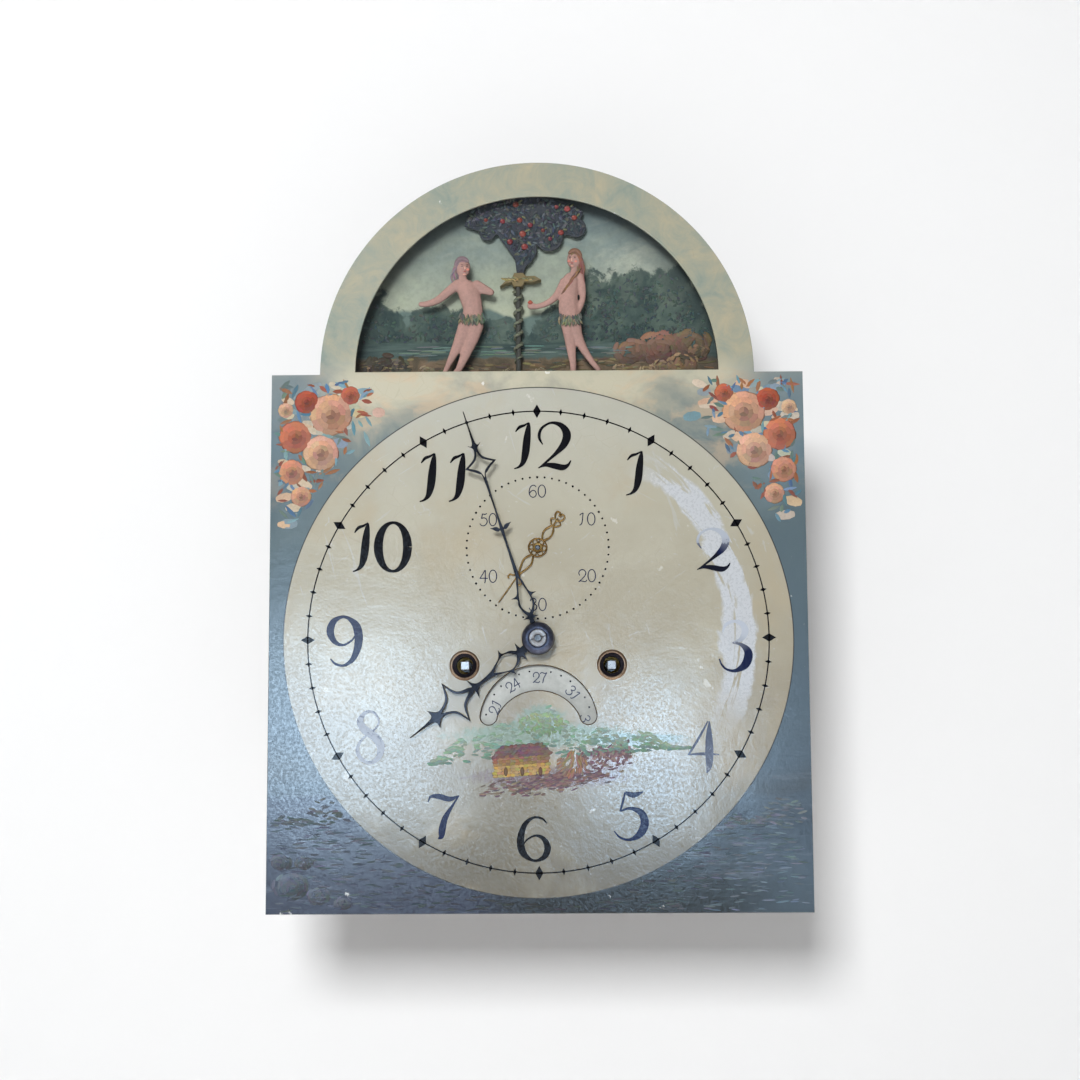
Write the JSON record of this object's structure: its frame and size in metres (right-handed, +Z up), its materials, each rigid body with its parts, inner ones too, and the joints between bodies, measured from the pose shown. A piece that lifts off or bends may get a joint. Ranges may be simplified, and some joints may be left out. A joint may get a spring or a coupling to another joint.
{
  "type": "longcase clock dial and movement",
  "caption": "Painted break-arch clock dial with hands, seconds, date and rocking arch figures, on its weight-driven striking movement and seatboard.",
  "frame": {"origin": "middle of the seatboard's underside, where the clock rests on its case", "axes": "+Z up along the dial's middle line, +X to the right seen from the front, +Y to the back, so the dial faces -Y"},
  "size_m": [0.33, 0.1562, 0.4649],
  "materials": {
    "brass": "aged lacquered brass",
    "steel": "polished steel",
    "blued_steel": "dark blued steel",
    "gilt": "gilded brass",
    "bell_metal": "cast bell metal",
    "dial_paint": "aged cream japanning on sheet iron",
    "landscape_paint": "painted landscape on sheet iron",
    "flesh_paint": "painted figure on sheet iron",
    "tree_paint": "dark painted foliage on sheet iron",
    "leaf_paint": "gilded and painted leaf on sheet iron",
    "serpent_paint": "painted wire",
    "white_paint": "white painted disc",
    "oak": "waxed oak"
  },
  "bodies": {
    "frame": {"front_plate": "brass", "back_plate": "brass", "pillar_lower_left": "brass", "pillar_lower_right": "brass", "pillar_upper_left": "brass", "pillar_upper_right": "brass", "back_cock": "brass", "hour_bridge": "brass", "date_post": "brass", "dial_foot_lower_left": "steel", "dial_foot_lower_right": "steel", "dial_foot_upper_left": "steel", "dial_foot_upper_right": "steel", "seat_bolt_left": "steel", "seat_bolt_right": "steel", "minute_stud": "steel", "bell_stand": "steel", "backdrop_post_left": "steel", "backdrop_post_right": "steel", "bell": "bell_metal", "dial_plate": "dial_paint", "arch_backdrop": "landscape_paint", "tree_crown": "tree_paint", "tree_trunk": "leaf_paint", "leaf_capital": "leaf_paint", "serpent": "serpent_paint", "seatboard": "oak"},
    "centre": {"centre_arbor": "steel", "centre_wheel": "brass", "cannon_wheel": "brass", "minute_hand": "blued_steel", "hand_collet": "blued_steel"},
    "great": {"going_great_wheel": "brass", "going_click": "steel"},
    "going_barrel": {"going_barrel": "brass"},
    "third": {"third_arbor": "steel", "third_wheel": "brass"},
    "escape": {"escape_arbor": "steel", "escape_wheel": "brass", "seconds_hand": "gilt"},
    "minute_wheel": {"minute_wheel": "brass"},
    "hour": {"hour_wheel": "brass", "hour_hand": "blued_steel"},
    "strike_great": {"strike_great_wheel": "brass", "strike_click": "steel"},
    "strike_barrel": {"strike_barrel": "brass"},
    "pin_wheel": {"pin_wheel": "brass"},
    "hoop_wheel": {"hoop_wheel": "brass"},
    "warning_wheel": {"warning_wheel": "brass"},
    "fly": {"fly": "brass"},
    "anchor": {"anchor": "steel", "crutch": "steel"},
    "man": {"man_figure": "flesh_paint", "man_rocker": "steel"},
    "woman": {"woman_figure": "flesh_paint", "woman_rocker": "steel"},
    "rocker_bar": {"rocker_bar": "brass"},
    "hammer": {"hammer": "steel"},
    "lifting_lever": {"lifting_lever": "steel"},
    "date_disc": {"date_disc": "white_paint"}
  },
  "joints": [
    {"name": "centre_turn", "type": "hinge", "parent": "frame", "child": "centre", "pos_m": [0, 0, 0.0883], "axis": [0, 1, 0], "continuous": true},
    {"name": "great_turn", "type": "hinge", "parent": "frame", "child": "great", "pos_m": [0.045, 0, 0.0723], "axis": [0, 1, 0], "continuous": true},
    {"name": "going_winding", "type": "hinge", "parent": "great", "child": "going_barrel", "pos_m": [0.045, 0, 0.0723], "axis": [0, 1, 0], "continuous": true},
    {"name": "third_turn", "type": "hinge", "parent": "frame", "child": "third", "pos_m": [0.0094, 0, 0.1192], "axis": [0, 1, 0], "continuous": true},
    {"name": "escape_turn", "type": "hinge", "parent": "frame", "child": "escape", "pos_m": [0, 0, 0.1443], "axis": [0, 1, 0], "continuous": true},
    {"name": "minute_wheel_turn", "type": "hinge", "parent": "frame", "child": "minute_wheel", "pos_m": [-0.0123, 0, 0.0545], "axis": [0, 1, 0], "continuous": true},
    {"name": "hour_turn", "type": "hinge", "parent": "frame", "child": "hour", "pos_m": [0, 0, 0.0883], "axis": [0, 1, 0], "continuous": true},
    {"name": "hoop_turn", "type": "hinge", "parent": "frame", "child": "hoop_wheel", "pos_m": [-0.0392, 0, 0.1266], "axis": [0, 1, 0], "continuous": true},
    {"name": "strike_great_turn", "type": "hinge", "parent": "frame", "child": "strike_great", "pos_m": [-0.045, 0, 0.0723], "axis": [0, 1, 0], "continuous": true},
    {"name": "strike_winding", "type": "hinge", "parent": "strike_great", "child": "strike_barrel", "pos_m": [-0.045, 0, 0.0723], "axis": [0, 1, 0], "continuous": true},
    {"name": "pin_wheel_turn", "type": "hinge", "parent": "frame", "child": "pin_wheel", "pos_m": [-0.051, 0, 0.1062], "axis": [0, 1, 0], "continuous": true},
    {"name": "warning_turn", "type": "hinge", "parent": "frame", "child": "warning_wheel", "pos_m": [-0.0569, 0, 0.1369], "axis": [0, 1, 0], "continuous": true},
    {"name": "fly_turn", "type": "hinge", "parent": "frame", "child": "fly", "pos_m": [-0.0488, 0, 0.1509], "axis": [0, 1, 0], "continuous": true},
    {"name": "anchor_swing", "type": "hinge", "parent": "frame", "child": "anchor", "pos_m": [0, 0, 0.1723], "axis": [0, 1, 0], "range_deg": [-3, 3]},
    {"name": "man_rock", "type": "hinge", "parent": "frame", "child": "man", "pos_m": [-0.052, 0, 0.2483], "axis": [0, 1, 0], "range_deg": [-6.2, 6.2]},
    {"name": "woman_rock", "type": "hinge", "parent": "frame", "child": "woman", "pos_m": [0.031, 0, 0.2483], "axis": [0, 1, 0], "range_deg": [-6.2, 6.2]},
    {"name": "rocker_bar_slide", "type": "slide", "parent": "frame", "child": "rocker_bar", "axis": [1, 0, 0], "range_m": [-0.0028, 0.0028]},
    {"name": "hammer_lift", "type": "hinge", "parent": "frame", "child": "hammer", "pos_m": [-0.074, 0, 0.1223], "axis": [0, -1, 0], "range_deg": [0, 7], "stiffness_Nm_per_rad": 0.05, "springref_deg": -5.73},
    {"name": "lifting_lever_lift", "type": "hinge", "parent": "frame", "child": "lifting_lever", "pos_m": [-0.08, 0, 0.0923], "axis": [0, -1, 0], "range_deg": [0, 5]},
    {"name": "date_turn", "type": "hinge", "parent": "frame", "child": "date_disc", "pos_m": [0, 0, 0.0363], "axis": [0, 1, 0], "continuous": true}
  ],
  "couplings": [
    {"joint": "great_turn", "follows": "centre_turn", "ratio": -0.083333},
    {"joint": "third_turn", "follows": "centre_turn", "ratio": -7.5},
    {"joint": "escape_turn", "follows": "centre_turn", "ratio": 60},
    {"joint": "minute_wheel_turn", "follows": "centre_turn", "ratio": -1},
    {"joint": "hour_turn", "follows": "centre_turn", "ratio": 0.083333},
    {"joint": "pin_wheel_turn", "follows": "hoop_turn", "ratio": -0.125},
    {"joint": "strike_great_turn", "follows": "hoop_turn", "ratio": 0.012821},
    {"joint": "warning_turn", "follows": "hoop_turn", "ratio": -8},
    {"joint": "fly_turn", "follows": "hoop_turn", "ratio": 64},
    {"joint": "man_rock", "follows": "anchor_swing", "ratio": -2.04},
    {"joint": "woman_rock", "follows": "anchor_swing", "ratio": -2.04},
    {"joint": "rocker_bar_slide", "follows": "anchor_swing", "m_per_rad": 0.051}
  ]
}
